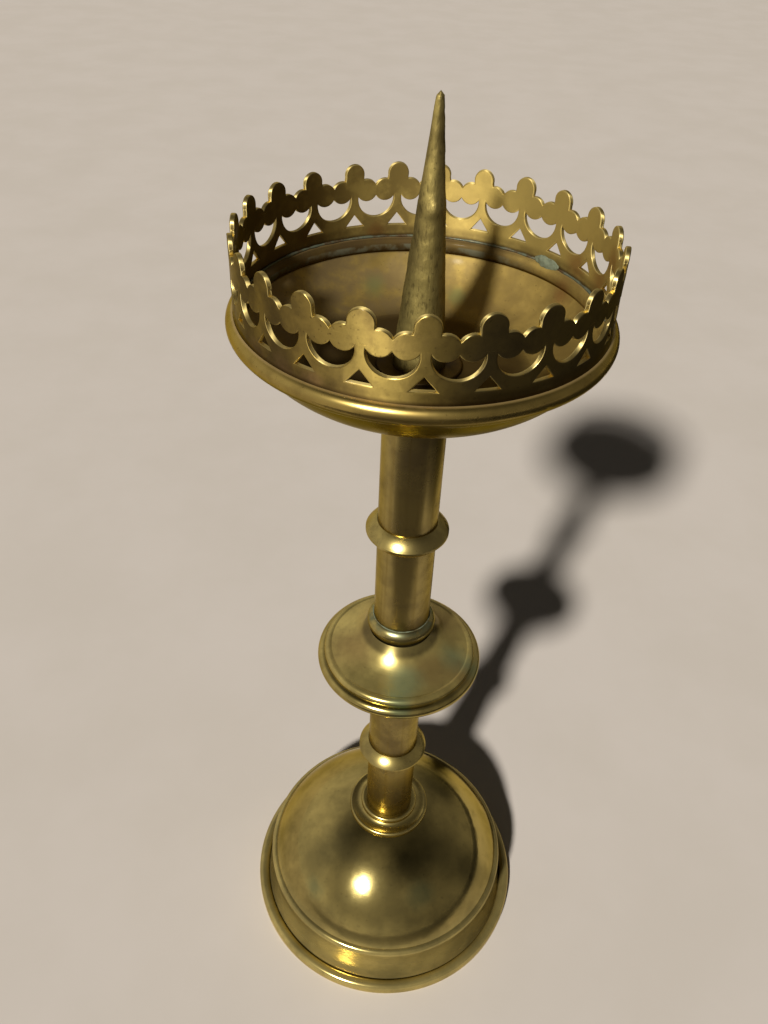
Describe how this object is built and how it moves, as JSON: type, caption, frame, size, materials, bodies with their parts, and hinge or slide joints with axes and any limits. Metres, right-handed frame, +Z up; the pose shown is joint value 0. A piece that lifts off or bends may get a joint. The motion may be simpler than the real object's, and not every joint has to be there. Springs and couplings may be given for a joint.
{
  "type": "pricket candle stand",
  "caption": "Standing brass pricket candlestick: domed foot, tube stem with turned rings and a knop, and a drip pan ringed by a pierced trefoil coronet round a spike.",
  "frame": {"origin": "centre of the foot's rim on the plane that it stands on", "axes": "+Z up along the stem to the spike's point; -Y is the front, the side that the picture was taken from; +X is to the right as seen from the front"},
  "size_m": [0.1524, 0.1524, 0.44],
  "materials": {
    "spun_brass": "polished, aged",
    "drawn_brass": "satin, drawn lengthways",
    "turned_brass": "turned, aged",
    "knop_brass": "dull, greenish",
    "pan_brass": "aged, tarnished inside",
    "pierced_brass": "worn bright at the edges",
    "washer_brass": "dark tarnish",
    "cast_brass": "rough as cast",
    "iron": "dull, dark"
  },
  "bodies": {
    "stem": {"foot": "spun_brass", "foot_collar": "turned_brass", "lower_tube": "drawn_brass", "lower_ring": "turned_brass", "lower_middle_tube": "drawn_brass", "knop_lower_collar": "turned_brass", "knop_lower_half": "knop_brass", "knop_upper_half": "knop_brass", "knop_upper_collar": "turned_brass", "upper_middle_tube": "drawn_brass", "upper_ring": "turned_brass", "top_tube": "drawn_brass", "stem_plug": "turned_brass", "tie_rod": "iron", "foot_washer": "iron", "foot_nut": "iron"},
    "pan": {"drip_pan": "pan_brass", "coronet": "pierced_brass"},
    "pricket_washer": {"pricket_washer": "washer_brass"},
    "pricket": {"pricket": "cast_brass"}
  },
  "joints": [
    {"name": "pan_turn", "type": "hinge", "parent": "stem", "child": "pan", "pos_m": [0, 0, 0.3474], "axis": [0, 0, 1], "continuous": true},
    {"name": "pricket_turn", "type": "hinge", "parent": "stem", "child": "pricket_washer", "pos_m": [0, 0, 0.3488], "axis": [0, 0, 1], "range_deg": [0, 2520]},
    {"name": "pricket_rise", "type": "slide", "parent": "pricket_washer", "child": "pricket", "axis": [0, 0, 1], "range_m": [0, 0.00987]}
  ],
  "couplings": [
    {"joint": "pricket_turn", "follows": "pricket_rise", "rad_per_m": 4453}
  ]
}
